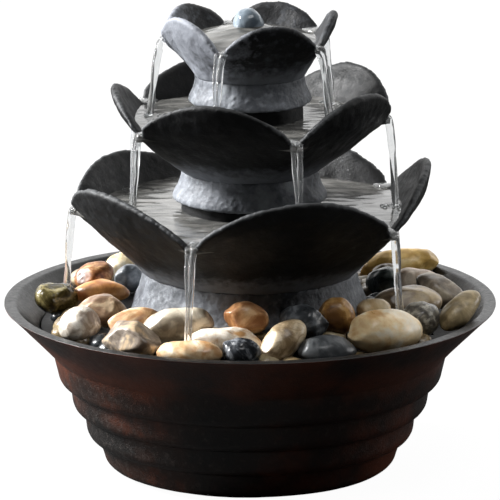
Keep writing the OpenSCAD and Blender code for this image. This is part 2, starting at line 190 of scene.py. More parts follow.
# name: (place in metres, side of the square in metres, watts)
LIGHTS = {
    "key_left": ((-1.65, 0.42, 1.15), 0.55, 125),
    "low_left": ((-1.9, 0.22, 0.22), 0.45, 16),
    "top_front": ((0.45, -0.9, 2.25), 0.8, 17),
    "rim_right": ((1.9, 0.5, 0.5), 0.6, 7),
}
for name, (place, size, power) in LIGHTS.items():
    area_light(name, place, size, power)
bpy.context.scene.view_settings.view_transform = "Standard"


# ---- modelling helpers ----

def polar(r, angle, z):
    """A point in metres, from a radius and a height in mm and an angle in degrees."""
    a = math.radians(angle)
    return Vector((r * MM * math.cos(a), r * MM * math.sin(a), z * MM))


def activate(piece):
    bpy.ops.object.select_all(action="DESELECT")
    piece.select_set(True)
    bpy.context.view_layer.objects.active = piece


def finish_with(piece, kind, **settings):
    """Adds a modifier with its settings and applies it."""
    activate(piece)
    modifier = piece.modifiers.new(kind.lower(), kind)
    for name, value in settings.items():
        setattr(modifier, name, value)
    bpy.ops.object.modifier_apply(modifier=modifier.name)


def roughen(piece, size, depth, level=0.5):
    """Pushes the surface in and out by depth mm, in clouds of size mm; level is the tone that
    stays where it is."""
    pattern = bpy.data.textures.new(f"{piece.name}_clouds", "CLOUDS")
    pattern.noise_scale = size * MM
    finish_with(piece, "DISPLACE", texture=pattern, texture_coords="LOCAL", strength=depth * MM,
                mid_level=level)


def cad_copy(node, name):
    """A free copy of a CAD node's mesh with its doubles merged."""
    piece = bpy.data.objects.new(name, frame["nodes"][node].data.copy())
    bpy.context.collection.objects.link(piece)
    piece.data.materials.clear()
    activate(piece)
    bpy.ops.object.mode_set(mode="EDIT")
    bpy.ops.mesh.select_all(action="SELECT")
    bpy.ops.mesh.remove_doubles(threshold=0.01 * MM)
    bpy.ops.object.mode_set(mode="OBJECT")
    return piece


def cast(piece, grain, rounds):
    """Turns a copy into an even skin of grain mm, with edges rounded as a casting's."""
    finish_with(piece, "REMESH", mode="VOXEL", voxel_size=grain * MM)
    finish_with(piece, "SMOOTH", factor=0.5, iterations=rounds)


def dress(piece, material, body, slot, *nodes):
    """Gives a finished piece its finish, its body, and the CAD nodes it stands for; slot is not
    used.
    """
    piece.data.materials.clear()
    piece.data.materials.append(material)
    activate(piece)
    bpy.ops.object.shade_smooth()
    if nodes:
        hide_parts(*nodes)
    if body:
        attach(piece, body)
    return piece


def joined(name, parts):
    """Joins parts into the first of them."""
    activate(parts[0])
    for part in parts:
        part.select_set(True)
    bpy.ops.object.join()
    parts[0].name = name
    return parts[0]


def turned(name, outline, steps):
    """Draws an outline of (radius, height) mm and spins it round Z."""
    points = [Vector((r * MM, 0, z * MM)) for r, z in outline]
    bpy.ops.object.select_all(action="DESELECT")
    bpy.ops.mesh.primitive_plane_add(size=MM, location=(0, 0, 0))
    piece = bpy.context.object
    piece.name = name
    bpy.ops.object.mode_set(mode="EDIT")
    bpy.ops.mesh.merge(type="CENTER")
    bpy.ops.transform.translate(value=points[0])
    for here, there in zip(points, points[1:]):
        bpy.ops.mesh.extrude_region_move(TRANSFORM_OT_translate={"value": there - here})
    bpy.ops.mesh.select_all(action="SELECT")
    bpy.ops.mesh.spin(steps=steps, angle=2 * math.pi, center=(0, 0, 0), axis=(0, 0, 1))
    bpy.ops.mesh.select_all(action="SELECT")
    bpy.ops.mesh.remove_doubles(threshold=0.02 * MM)
    bpy.ops.mesh.normals_make_consistent(inside=False)
    bpy.ops.object.mode_set(mode="OBJECT")
    return piece


def lofted(name, rows, caps=True):
    """A skin over rows of points in metres, each row a ring. Only water is made this way: its
    ripples and its fall follow formulas that the edit-mode operators have no way to give."""
    count = len(rows[0])
    faces = [(i * count + j, i * count + (j + 1) % count, (i + 1) * count + (j + 1) % count,
              (i + 1) * count + j) for i in range(len(rows) - 1) for j in range(count)]
    if caps:
        faces.append(tuple(reversed(range(count))))
        faces.append(tuple((len(rows) - 1) * count + j for j in range(count)))
    mesh = bpy.data.meshes.new(name)
    mesh.from_pydata([p for row in rows for p in row], [], faces)
    piece = bpy.data.objects.new(name, mesh)
    bpy.context.collection.objects.link(piece)
    activate(piece)
    bpy.ops.object.mode_set(mode="EDIT")
    bpy.ops.mesh.select_all(action="SELECT")
    bpy.ops.mesh.normals_make_consistent(inside=False)
    bpy.ops.object.mode_set(mode="OBJECT")
    return piece


# ---- finishes ----
# Pattern scales are 1000 / size in mm. The sand of the castings is really about 0.5 mm; it is
# drawn at 1 to 1.5 mm, as coarse as it needs to be to show.

def cast_resin(name, deep, mid, light, grain, bump, shine, edge, ior=1.5, seat=None, brushed_and_painted_highlight=0.0):
    """Cast polyresin with dry-brush paint over a dark base coat, and a fine sandy grain from the
    mould. Ridges and edges are lighter: partly where a dry brush touched the high spots, partly a
    painted highlight along the rims where the light catches them. On a dish the silver of its foot
    fades out over the first few millimetres above the seat. The silver on a dish's front left side
    is partly dry-brush paint and partly a painted highlight where the light from the left falls;
    the last argument sets how much. Sizes are in mm."""
    material, tree, shader, place = new_material(name, IOR=ior)
    clouds = add_node(tree, "ShaderNodeTexNoise", {"Vector": place, "Scale": 1000 / 22, "Detail": 6,
                                                   "Roughness": 0.62})
    sand = add_node(tree, "ShaderNodeTexNoise", {"Vector": place, "Scale": 1000 / grain,
                                                 "Detail": 4, "Roughness": 0.7})
    chips = add_node(tree, "ShaderNodeTexNoise", {"Vector": place, "Scale": 1000 / 4, "Detail": 5,
                                                  "Roughness": 0.6})
    tone = ramp(tree, clouds.outputs["Fac"], [(0.36, deep), (0.56, mid), (0.72, light)])
    dusty = ramp(tree, chips.outputs["Fac"], [(0.5, 0.0), (0.7, 0.5)])
    worn = add_node(tree, "ShaderNodeMix", {"Factor": dusty, "A": tone, "B": colour(light)},
                    data_type="RGBA")
    # lighter ridges and edges: partly dry-brush paint, partly a painted highlight along the rims
    ridge = add_node(tree, "ShaderNodeNewGeometry").outputs["Pointiness"]
    high = ramp(tree, ridge, [(0.535, 0.0), (0.62, edge)])
    painted = add_node(tree, "ShaderNodeMix", {"Factor": high, "A": worn.outputs["Result"],
                                               "B": colour("#9a9da0")}, data_type="RGBA")
    if seat:
        tall = add_node(tree, "ShaderNodeSeparateXYZ", {0: place})
        ragged = add_node(tree, "ShaderNodeMath", {0: chips.outputs["Fac"], 1: -0.016,
                                                   2: tall.outputs["Z"]}, operation="MULTIPLY_ADD")
        fade = add_node(tree, "ShaderNodeMapRange", {"Value": ragged.outputs[0],
                                                     "From Min": (seat - 7) * MM,
                                                     "From Max": (seat + 5) * MM, "To Min": 0.85,
                                                     "To Max": 0.0},
                        interpolation_type="SMOOTHSTEP")
        painted = add_node(tree, "ShaderNodeMix", {"Factor": fade.outputs[0],
                                                   "A": painted.outputs["Result"],
                                                   "B": colour("#7b7f86")}, data_type="RGBA")
    # painted highlight: silver on the front left side where the light from the left falls, partly
    # dry-brush paint too
    if brushed_and_painted_highlight:
        across = add_node(tree, "ShaderNodeSeparateXYZ", {0: place})
        leftward = add_node(tree, "ShaderNodeMath", {0: across.outputs["Y"], 1: 0.5,
                                                     2: across.outputs["X"]},
                            operation="MULTIPLY_ADD")
        patchy = add_node(tree, "ShaderNodeMath", {0: chips.outputs["Fac"], 1: -0.045,
                                                   2: leftward.outputs[0]},
                          operation="MULTIPLY_ADD")
        side = add_node(tree, "ShaderNodeMapRange", {"Value": patchy.outputs[0],
                                                     "From Min": -42 * MM, "From Max": -62 * MM,
                                                     "To Min": 0.0, "To Max": brushed_and_painted_highlight})
        painted = add_node(tree, "ShaderNodeMix", {"Factor": side.outputs[0],
                                                   "A": painted.outputs["Result"],
                                                   "B": colour("#a2a6af")}, data_type="RGBA")
    link(tree, painted.outputs["Result"], shader, "Base Color")
    rough = add_node(tree, "ShaderNodeMapRange", {"Value": chips.outputs["Fac"], "From Min": 0.3,
                                                  "From Max": 0.7, "To Min": shine - 0.08,
                                                  "To Max": shine + 0.12})
    link(tree, rough.outputs[0], shader, "Roughness")
    height = add_node(tree, "ShaderNodeMath", {0: sand.outputs["Fac"], 1: chips.outputs["Fac"]},
                      operation="ADD")
    relief = add_node(tree, "ShaderNodeBump", {"Height": height.outputs[0], "Strength": 0.9,
                                               "Distance": bump * MM})
    link(tree, relief.outputs[0], shader, "Normal")
    return material


def basin_paint():
    """Cast polyresin basin in bronze-brown paint: nearly black, with rust-brown clouds that are
    thicker near the foot and over the top flare, a fine sand texture and a satin clear coat."""
    material, tree, shader, place = new_material("Cast polyresin, bronze-brown satin paint",
                                                 IOR=1.5)
    clouds = add_node(tree, "ShaderNodeTexNoise", {"Vector": place, "Scale": 1000 / 60, "Detail": 5,
                                                   "Roughness": 0.6})
    flecks = add_node(tree, "ShaderNodeTexNoise", {"Vector": place, "Scale": 1000 / 3, "Detail": 4,
                                                   "Roughness": 0.7})
    sand = add_node(tree, "ShaderNodeTexNoise", {"Vector": place, "Scale": 1000 / 0.9, "Detail": 3})
    split = add_node(tree, "ShaderNodeSeparateXYZ", {0: place})
    band = add_node(tree, "ShaderNodeMapRange", {"Value": split.outputs["Z"], "From Max": 0.09})
    bare = ramp(tree, band.outputs[0], [(0.1, 0.1), (0.26, 0.0), (0.62, 0.0), (0.76, 0.16)])
    rusty = add_node(tree, "ShaderNodeMath", {0: clouds.outputs["Fac"], 1: bare}, operation="ADD")
    tone = ramp(tree, rusty.outputs[0], [(0.42, "#0e0a08"), (0.55, "#28140b"), (0.7, "#5c2c17")])
    speck = ramp(tree, flecks.outputs["Fac"], [(0.54, 0.0), (0.72, 0.4)])
    mixed = add_node(tree, "ShaderNodeMix", {"Factor": speck, "A": tone, "B": colour("#4f4641")},
                     data_type="RGBA")
    across = add_node(tree, "ShaderNodeCombineXYZ", {0: split.outputs["X"], 1: split.outputs["Y"]})
    radius = add_node(tree, "ShaderNodeVectorMath", {0: across.outputs[0]}, operation="LENGTH")
    slope = add_node(tree, "ShaderNodeMath", {0: radius.outputs["Value"], 1: split.outputs["Z"]},
                     operation="SUBTRACT")
    # the lip and the inside of the bowl are near-black: partly their dark paint, partly a painted
    # shade that keeps them dark under the lamp from above; both masks lie inside the wall
    lip = add_node(tree, "ShaderNodeMapRange", {"Value": slope.outputs[0], "From Min": 0.0411,
                                                "From Max": 0.0407})
    lean = add_node(tree, "ShaderNodeMath", {0: split.outputs["Z"], 1: -0.49,
                                             2: radius.outputs["Value"]}, operation="MULTIPLY_ADD")
    bowl = add_node(tree, "ShaderNodeMapRange", {"Value": lean.outputs[0], "From Min": 0.0726,
                                                 "From Max": 0.072})
    inside = add_node(tree, "ShaderNodeMath", {0: lip.outputs[0], 1: bowl.outputs[0]},
                      operation="MAXIMUM")
    grey = add_node(tree, "ShaderNodeMix", {"Factor": inside.outputs[0],
                                            "A": mixed.outputs["Result"], "B": colour("#0a0a0a")},
                    data_type="RGBA")
    link(tree, grey.outputs["Result"], shader, "Base Color")
    rough = add_node(tree, "ShaderNodeMapRange", {"Value": flecks.outputs["Fac"], "From Min": 0.3,
                                                  "From Max": 0.7, "To Min": 0.34, "To Max": 0.5})
    link(tree, rough.outputs[0], shader, "Roughness")
    height = add_node(tree, "ShaderNodeMath", {0: sand.outputs["Fac"], 1: flecks.outputs["Fac"]},
                      operation="ADD")
    relief = add_node(tree, "ShaderNodeBump", {"Height": height.outputs[0], "Strength": 0.8,
                                               "Distance": 0.22 * MM})
    link(tree, relief.outputs[0], shader, "Normal")
    return material


def river_stone(name, colours, size, speckle, shine, seed):
    """A river pebble, tumbled smooth: two or three mineral tones that run into each other,
    fine specks, and a damp surface that is glossier than it is polished."""
    material, tree, shader, place = new_material(name, IOR=1.5)
    own_place = (seed * 0.37, seed * 0.21, seed * 0.13)
    moved = add_node(tree, "ShaderNodeMapping", {"Vector": place, "Location": own_place})
    clouds = add_node(tree, "ShaderNodeTexNoise", {"Vector": moved.outputs[0], "Scale": 1000 / size,
                                                   "Detail": 7, "Roughness": 0.6,
                                                   "Distortion": 0.6})
    specks = add_node(tree, "ShaderNodeTexNoise", {"Vector": moved.outputs[0], "Scale": 1000 / 1.6,
                                                   "Detail": 5, "Roughness": 0.75})
    low, mid, high = colours
    tone = ramp(tree, clouds.outputs["Fac"], [(0.4, low), (0.52, mid), (0.6, high)])
    dots = ramp(tree, specks.outputs["Fac"], [(0.54, 0.0), (0.7, speckle)])
    dark = add_node(tree, "ShaderNodeMix", {"Factor": dots, "A": tone, "B": colour("#2c2620")},
                    data_type="RGBA")
    link(tree, dark.outputs["Result"], shader, "Base Color")
    rough = add_node(tree, "ShaderNodeMapRange", {"Value": clouds.outputs["Fac"], "From Min": 0.3,
                                                  "From Max": 0.7, "To Min": shine,
                                                  "To Max": shine + 0.14})
    link(tree, rough.outputs[0], shader, "Roughness")
    relief = add_node(tree, "ShaderNodeBump", {"Height": specks.outputs["Fac"], "Strength": 0.25,
                                               "Distance": 0.2 * MM})
    link(tree, relief.outputs[0], shader, "Normal")
    return material


def plain_finish(name, tone, marks, size, shine, relief_mm, **constants):
    """A moulded or stamped part: its own tone, faint marks of size mm and a fine relief."""
    material, tree, shader, place = new_material(name, **constants)
    marked = add_node(tree, "ShaderNodeTexNoise", {"Vector": place, "Scale": 1000 / size,
                                                   "Detail": 5, "Roughness": 0.6})
    link(tree, ramp(tree, marked.outputs["Fac"], [(0.35, tone), (0.7, marks)]), shader,
         "Base Color")
    rough = add_node(tree, "ShaderNodeMapRange", {"Value": marked.outputs["Fac"], "From Min": 0.3,
                                                  "From Max": 0.7, "To Min": shine,
                                                  "To Max": shine + 0.12})
    link(tree, rough.outputs[0], shader, "Roughness")
    relief = add_node(tree, "ShaderNodeBump", {"Height": marked.outputs["Fac"], "Strength": 0.4,
                                               "Distance": relief_mm * MM})
    link(tree, relief.outputs[0], shader, "Normal")
    return material


def pool_water(name, tones, gloss):
    """Moving water over dark resin: it mirrors the bright backdrop at a low angle, and long
    ripples break the mirror into streaks. Its grey base tone, streaked the same way, is a painted
    reflection of that backdrop."""
    material, tree, shader, place = new_material(name, Roughness=gloss, IOR=1.33)
    drawn = add_node(tree, "ShaderNodeMapping", {"Vector": place, "Scale": (0.45, 1.0, 1.0)})
    swell = add_node(tree, "ShaderNodeTexNoise", {"Vector": drawn.outputs[0], "Scale": 1000 / 9,
                                                  "Detail": 3, "Roughness": 0.55,
                                                  "Distortion": 0.8})
    ripple = add_node(tree, "ShaderNodeTexNoise", {"Vector": drawn.outputs[0], "Scale": 1000 / 3,
                                                   "Detail": 3})
    # painted reflection: the grey, streaked base tone stands in for the mirrored backdrop
    link(tree, ramp(tree, swell.outputs["Fac"], list(zip((0.36, 0.56, 0.72), tones))), shader,
         "Base Color")
    height = add_node(tree, "ShaderNodeMath", {0: ripple.outputs["Fac"], 1: 0.3,
                                               2: swell.outputs["Fac"]}, operation="MULTIPLY_ADD")
    relief = add_node(tree, "ShaderNodeBump", {"Height": height.outputs[0], "Strength": 0.28,
                                               "Distance": 0.6 * MM})
    link(tree, relief.outputs[0], shader, "Normal")
    return material


def clear_water():
    """Falling water: clear, with the bright and dark edges of a wavy glass rod."""
    material, tree, shader, place = new_material("Falling water, clear", Roughness=0.0, IOR=1.33)
    shader.inputs["Transmission Weight"].default_value = 0.86
    drawn = add_node(tree, "ShaderNodeMapping", {"Vector": place, "Scale": (1.0, 1.0, 0.25)})
    wave = add_node(tree, "ShaderNodeTexNoise", {"Vector": drawn.outputs[0], "Scale": 1000 / 2.5,
                                                 "Detail": 2})
    link(tree, ramp(tree, wave.outputs["Fac"], [(0.3, "#eef1f2"), (0.7, "#ffffff")]), shader,
         "Base Color")
    relief = add_node(tree, "ShaderNodeBump", {"Height": wave.outputs["Fac"], "Strength": 0.3,
                                               "Distance": 0.5 * MM})
    link(tree, relief.outputs[0], shader, "Normal")
    return material


# tier: (deep, middle and light tone, height of the seat in mm, silver on the front left side)
# The silver on the front left side is partly dry-brush paint and partly a painted highlight for
# the light from the left; the top tier's lighter tones are partly its greyer paint and partly a
# painted highlight too.
SLATE_TONES = {
    "bottom": (("#070708", "#0b0c0d", "#1f2124"), 107, 0.0),
    "middle": (("#070708", "#0b0c0d", "#1f2125"), 161, 0.0),
    "top": (("#0b0c0e", "#17181b", "#54585e"), 212, 0.7),
}
SLATES = {
    tier: cast_resin(f"Cast polyresin, slate-black dry-brushed, {tier}", *tones, grain=1.5,
                     bump=0.32, shine=0.54, edge=0.7, ior=1.34, seat=seat, brushed_and_painted_highlight=brushed_and_painted_highlight)
    for tier, (tones, seat, brushed_and_painted_highlight) in SLATE_TONES.items()}
ROUGH_STONE = cast_resin("Cast polyresin, silver-grey stone", "#44484e", "#70747b", "#a9aeb4", 1.5,
                         0.3, 0.58, 0.3, 1.45)
BASIN_PAINT = basin_paint()
# the pool's grey and the dome's blue-grey tones are painted reflection of the backdrop
POOL = pool_water("Pool water over slate, painted reflection", ("#444442", "#686764", "#868481"), 0.13)
DOME = pool_water("Spring water, blue-grey painted reflection", ("#566069", "#87929b", "#b2bac1"), 0.14)
CLEAR = clear_water()
# near-black: partly the black moulding, partly a painted shade that makes the gaps between the
# stones read dark
DECK = plain_finish("Moulded polypropylene, black with painted gap shade", "#070606", "#100e0d", 3, 0.6, 0.1, IOR=1.45)
ABS = plain_finish("Moulded ABS, black satin", "#111214", "#1d1e21", 1.2, 0.32, 0.04, IOR=1.54)
DIAL_ABS = plain_finish("Moulded ABS, dark grey", "#2a2c30", "#3a3d41", 1.2, 0.35, 0.04, IOR=1.54)
ACETAL = plain_finish("Moulded acetal, ivory", "#d9d5c8", "#ece9df", 4, 0.28, 0.03, IOR=1.48)
RUBBER = plain_finish("Moulded rubber, black", "#0d0d0d", "#191919", 0.8, 0.62, 0.06, IOR=1.52)
VINYL = plain_finish("Extruded vinyl, clear blue-grey", "#aeb9bd", "#c7d0d3", 6, 0.16, 0.02,
                     IOR=1.53)
STEEL = plain_finish("Stamped silicon steel", "#5d6064", "#84878a", 0.7, 0.36, 0.05, Metallic=1.0)
FERRITE = plain_finish("Sintered ferrite", "#232326", "#35353a", 1.0, 0.5, 0.04, IOR=1.8)
GROUND_CERAMIC = plain_finish("Ground alumina ceramic", "#e3e1da", "#f4f3ee", 2, 0.2, 0.01,
                              IOR=1.76)
COPPER = plain_finish("Enamelled copper wire", "#7d3a1c", "#b5683a", 0.5, 0.3, 0.08, Metallic=1.0)


# ---- basin ----

RIM_R, RIM_Z, LIP_W = 130.3, 89.5, 6.0
CREASES = [(81, 16), (88.3, 31), (95.8, 46), (104.5, 63)]


def step_arc(r, z, out, up, count=6):
    """A quarter ellipse that runs out from (r, z) and turns upwards."""
    turns = [math.radians(90 * i / count) for i in range(count + 1)]
    return [(r + out * math.sin(t), z + up * (1 - math.cos(t))) for t in turns]


def make_basin():
    foot_z = 1.6
    outline = [(0, foot_z), (40, foot_z)] + step_arc(71, foot_z, 7, 6)
    for r, z in CREASES[:-1]:
        outline += [(r - 0.3, z - 0.9)] + step_arc(r, z, 6.2, 6.6)
    lip_in = RIM_R - LIP_W
    outline += [(104.3, 61.9), (104.4, 62.8), (105.1, 63.6), (110.7, 69.5), (117.2, 76.2),
                (123.6, 82.7), (129.4, 88.4), (130.1, 88.9), (130.25, 89.2), (130.0, 89.45),
                (129.3, 89.5), (lip_in + 0.4, 89.45), (lip_in, 89.3), (lip_in - 0.8, 88.8),
                (lip_in - 1.6, 87.7), (117.5, 82.4), (111.2, 76.2), (111, 75.6), (111, 74),
                (103, 74), (100.3, 62), (98.5, 54), (91.8, 45), (90.5, 38), (84.2, 30.5), (83, 23),
                (77, 15.5), (75, 9), (71, 5.1), (0, 5.1)]
    basin = turned("basin_cast", outline, 160)
    finish_with(basin, "SUBSURF", levels=1, render_levels=1)
    roughen(basin, 45, 0.5)
    roughen(basin, 9, 0.16)
    dress(basin, BASIN_PAINT, "root", "basin_resin", "basin")


make_basin()


# ---- dishes and feet ----

class Dish:
    """The same curves as the CAD dish, for the water that lies in it."""

    def __init__(self, seat, tip_r, notch_z, top, first_notch, bend, keel, spout, water_z, post_r):
        self.seat_r, self.seat_z = seat
        self.tip_r, self.notch_z, self.height = tip_r, notch_z, top - seat[1]
        self.first_notch, self.bend, self.keel, self.spout = first_notch, bend, keel, spout
        self.water_z, self.post_r = water_z, post_r

    def openness(self, angle):
        """0 at a pouring notch, 1 at the middle of a petal."""
        return abs(math.sin(math.radians(2.5 * (angle - self.first_notch))))

    def outer_r(self, z, angle):
        u = (z - self.seat_z) / self.height
        v = 1 - self.openness(angle)
        notch_u = (self.notch_z - self.seat_z) / self.height
        return (self.seat_r
                + (self.tip_r - self.seat_r) * math.sin(math.radians(90 * u ** self.bend))
                + self.keel * v ** 1.5 * min(1, u / 0.35)
                + self.spout * v ** 4 * max(0, (u / notch_u - 0.7) / 0.3))

    def notches(self):
        return [self.first_notch + 72 * k for k in range(5)]


BOTTOM = Dish((56.3, 107), 95, 137, 165, -109, 1.08, 6.3, 3.2, 140.0, 35.0)
MIDDLE_DISH = Dish((35.6, 161), 73.5, 186.5, 209, -71, 1.0, 5.2, 3.0, 189.0, 26.0)
TOP = Dish((28.6, 212), 45.5, 228.5, 246.5, -110, 1.25, 4.0, 2.5, 230.5, 0.0)
TIERS = {"bottom": BOTTOM, "middle": MIDDLE_DISH, "top": TOP}

# size of the even skin's mesh in mm, which keeps each dish under 200,000 triangles
SKIN = {"bottom": 1.2, "middle": 0.95, "top": 0.8}

for tier in TIERS:
    dish = cad_copy(f"{tier}_dish", f"{tier}_petals")
    cast(dish, SKIN[tier], 6)
    finish_with(dish, "DISPLACE", strength=0.6 * MM, mid_level=0)
    roughen(dish, 18, 1.8)
    roughen(dish, 6, 0.45)
    dress(dish, SLATES[tier], f"{tier}_tier", "cast_slate", f"{tier}_dish")
    foot = cad_copy(f"{tier}_pedestal", f"{tier}_foot")
    cast(foot, 0.75, 4)
    roughen(foot, 12, 0.7)
    roughen(foot, 3.2, 0.65)
    roughen(foot, 1.7, 0.3)
    dress(foot, ROUGH_STONE, f"{tier}_tier", "cast_rough", f"{tier}_pedestal")


# ---- pebbles ----

STONE_SWELL = 1.18       # a stone starts this much too big, and the cuts bring it back to size
STONE_SKIN = 0.55        # mm
TUMBLE_ROUNDS = 14


def stone_cuts(piece, chance, cuts, keep):
    """Takes flat slices off a rounded stone, each at keep or a little more of its reach."""
    corners = [v.co for v in piece.data.vertices]
    middle = sum(corners, Vector()) / len(corners)
    activate(piece)
    bpy.ops.object.mode_set(mode="EDIT")
    bpy.ops.mesh.select_all(action="SELECT")
    bpy.ops.transform.resize(value=(STONE_SWELL,) * 3, center_override=middle)
    reach = [(v - middle) * STONE_SWELL for v in corners]
    for _ in range(cuts):
        facing = Vector([chance.uniform(-1, 1), chance.uniform(-1, 1),
                         chance.uniform(-0.5, 1)]).normalized()
        far = max(v.dot(facing) for v in reach) * chance.uniform(keep, keep + 0.12)
        bpy.ops.mesh.select_all(action="SELECT")
        bpy.ops.mesh.bisect(plane_co=middle + facing * far, plane_no=facing, use_fill=True,
                            clear_outer=True)
    bpy.ops.object.mode_set(mode="OBJECT")


def tumbled(piece, chance, cuts, keep, lump_size, lumps):
    """Rounds a faceted stone, slices it, and tumbles its edges smooth again."""
    finish_with(piece, "SUBSURF", levels=2, render_levels=2)
    stone_cuts(piece, chance, cuts, keep)
    finish_with(piece, "REMESH", mode="VOXEL", voxel_size=STONE_SKIN * MM)
    finish_with(piece, "SMOOTH", factor=0.6, iterations=TUMBLE_ROUNDS)
    roughen(piece, lump_size, lumps)


# name: (low, middle and high tone, cloud size mm, speckle, roughness, lumps mm, lump size mm)
PEBBLES = {
    "olive_wet": (("#241f12", "#4d4526", "#857a50"), 9, 0.5, 0.12, 1.2, 8),
    "rust": (("#5e3a22", "#97643d", "#c49b6c"), 9, 0.3, 0.3, 1.0, 10),
    "orange_long": (("#915a30", "#c08a50", "#e0b078"), 14, 0.15, 0.28, 0.8, 12),
    "cream_back": (("#c8a878", "#e6d3aa", "#f6ead0"), 12, 0.1, 0.32, 1.0, 10),
    "bluegrey": (("#3b3f43", "#565b60", "#777b7f"), 10, 0.2, 0.3, 0.8, 9),
    "brown_lumpy": (("#816752", "#aa8e73", "#d9c2a2"), 9, 0.3, 0.3, 2.2, 11),
    "white_lobed": (("#98897a", "#cfc5b6", "#eee7dc"), 8, 0.3, 0.34, 1.6, 11),
    "cream_left": (("#b98a60", "#dcb98e", "#f0dcbc"), 12, 0.15, 0.3, 1.0, 12),
    "long_grey": (("#7b705f", "#ada28e", "#d6cbb6"), 14, 0.25, 0.32, 1.0, 12),
    "grey_lumpy": (("#64574b", "#978a7c", "#cbb290"), 9, 0.45, 0.3, 2.4, 11),
    "white_front": (("#b98d5c", "#e3d6c2", "#f6efe4"), 13, 0.15, 0.3, 1.4, 12),
    "cream_front": (("#c09060", "#e6c9a0", "#f6e8d2"), 12, 0.15, 0.28, 1.0, 12),
    "charcoal": (("#1f2124", "#3a3d42", "#85888c"), 9, 0.2, 0.2, 2.0, 7),
    "peach": (("#93623c", "#c59465", "#e8c498"), 12, 0.15, 0.28, 0.9, 11),
    "wedge": (("#80694a", "#b79f7c", "#dfccab"), 9, 0.4, 0.3, 1.2, 11),
    "facet": (("#2e3134", "#484c50", "#777b7f"), 9, 0.3, 0.24, 2.2, 8),
    "orange_brown": (("#75502c", "#a5783f", "#cfa568"), 9, 0.25, 0.28, 1.2, 11),
    "dark_oval": (("#2c2e30", "#44474a", "#65686a"), 12, 0.15, 0.3, 0.8, 14),
    # big_cream: its tones are lifted above the stone's own cream as a painted light, since the
    # tiers shade it
    "big_cream": (("#dfae6e", "#fbe0b0", "#fff1d6"), 22, 0.08, 0.26, 1.0, 16),
    "small_cream": (("#b09266", "#d6c097", "#ead9b8"), 10, 0.15, 0.3, 0.8, 9),
    "green_black": (("#1c2422", "#333d3a", "#55605b"), 9, 0.15, 0.22, 1.6, 9),
    "brown_oval": (("#6d5b44", "#99856a", "#bca782"), 13, 0.25, 0.26, 0.9, 14),
    "pinkish": (("#a68e7a", "#d0bba5", "#ebdac6"), 10, 0.2, 0.3, 0.9, 10),
    "grey_brown": (("#6b6154", "#948776", "#b9ae98"), 12, 0.3, 0.28, 1.2, 12),
    "quartz": (("#534f49", "#817c71", "#c2bdaf"), 5, 0.6, 0.28, 1.8, 8),
    "tan_long": (("#8a7a5b", "#b4a07a", "#d7c39a"), 12, 0.25, 0.3, 0.9, 12),
    "ochre_back": (("#b28e49", "#d7b368", "#f5d998"), 14, 0.2, 0.3, 1.2, 13),
}
ANGULAR_LUMPS, MOST_LUMPS = 1.8, 1.3     # mm: from the first a stone is cut deeper
PEBBLE_SLOTS = {part["node"]: part["material_slot"] for part in frame["record"]["subparts"]}

for number, (name, (tones, cloud, speckle, shine, lumps, lump_size)) in enumerate(PEBBLES.items()):
    pebble = cad_copy(f"pebble_{name}", f"{name}_pebble")
    cuts, keep = (5, 0.72) if lumps >= ANGULAR_LUMPS else (4, 0.8)
    tumbled(pebble, random.Random(number), cuts, keep, lump_size, 1.4 * min(lumps, MOST_LUMPS))
    stone = river_stone(f"River pebble, {name.replace('_', ' ')}", tones, cloud, speckle, shine,
                        number)
    dress(pebble, stone, "deck", PEBBLE_SLOTS[f"pebble_{name}"], f"pebble_{name}")

behind = cad_copy("back_pebbles", "pebbles_behind")
finish_with(behind, "SUBSURF", levels=3, render_levels=3)
roughen(behind, 12, 2.6, level=0.36)
dress(behind, river_stone("River pebbles, mixed browns", ("#5a4a38", "#8f7d66", "#c4b292"), 26,
                          0.25, 0.3, 40), "deck", "pebbles_brown", "back_pebbles")


GAP_STONES = 93          # in three groups
GAP_STONE_R = 6.8        # mm
DECK_TOP, DECK_FLAT_R, DECK_FALL = 84, 69, 0.168     # the deck falls away outside its flat middle
GOLDEN_TURN = 137.5      # degrees, which spreads the stones evenly


def gap_stones(name, group, material, slot):
    """Small stones that lie deeper, in the gaps between the others."""
    stones = []
    for k in range(group, GAP_STONES, 3):
        r, angle = 64 + (k * 17) % 44, k * GOLDEN_TURN
        z = DECK_TOP - max(0, r - DECK_FLAT_R) * DECK_FALL + 2.2
        chance = random.Random(100 + k)
        bpy.ops.object.select_all(action="DESELECT")
        bpy.ops.mesh.primitive_ico_sphere_add(subdivisions=4, radius=GAP_STONE_R * MM,
                                              location=(0, 0, 0))
        stone = bpy.context.object
        bpy.ops.object.mode_set(mode="EDIT")
        bpy.ops.transform.resize(value=(chance.uniform(0.9, 1.5), chance.uniform(0.8, 1.1), 0.7),
                                 center_override=(0, 0, 0))
        bpy.ops.transform.rotate(value=chance.uniform(0, 6.2), orient_axis="Z",
                                 center_override=(0, 0, 0))
        bpy.ops.transform.translate(value=polar(r, angle, z))
        bpy.ops.object.mode_set(mode="OBJECT")
        stones.append(stone)
    piece = joined(name, stones)
    roughen(piece, 7, 2.2)
    dress(piece, material, "deck", slot)


gap_stones("gap_stones_dark", 0, river_stone("River gravel, wet slate",
                                             ("#15181a", "#272b2e", "#45494c"), 14, 0.2, 0.2, 51),
           "pebbles_dark")
gap_stones("gap_stones_brown", 1, river_stone("River gravel, wet brown",
                                              ("#2f261c", "#54452f", "#80704f"), 14, 0.3, 0.22, 52),
           "pebbles_brown")
gap_stones("gap_stones_pale", 2, river_stone("River gravel, wet tan",
                                             ("#5e5039", "#8d7a5a", "#b5a582"), 14, 0.3, 0.24, 53),
           "pebbles_pale")


# ---- water ----

RING_HEIGHT, RING_REACH = 0.7, 4.0      # mm, of the rings where a stream lands
RUN_START, RUN_DIP = 0.72, 1.3          # where a pool starts to run to a notch, and mm it falls


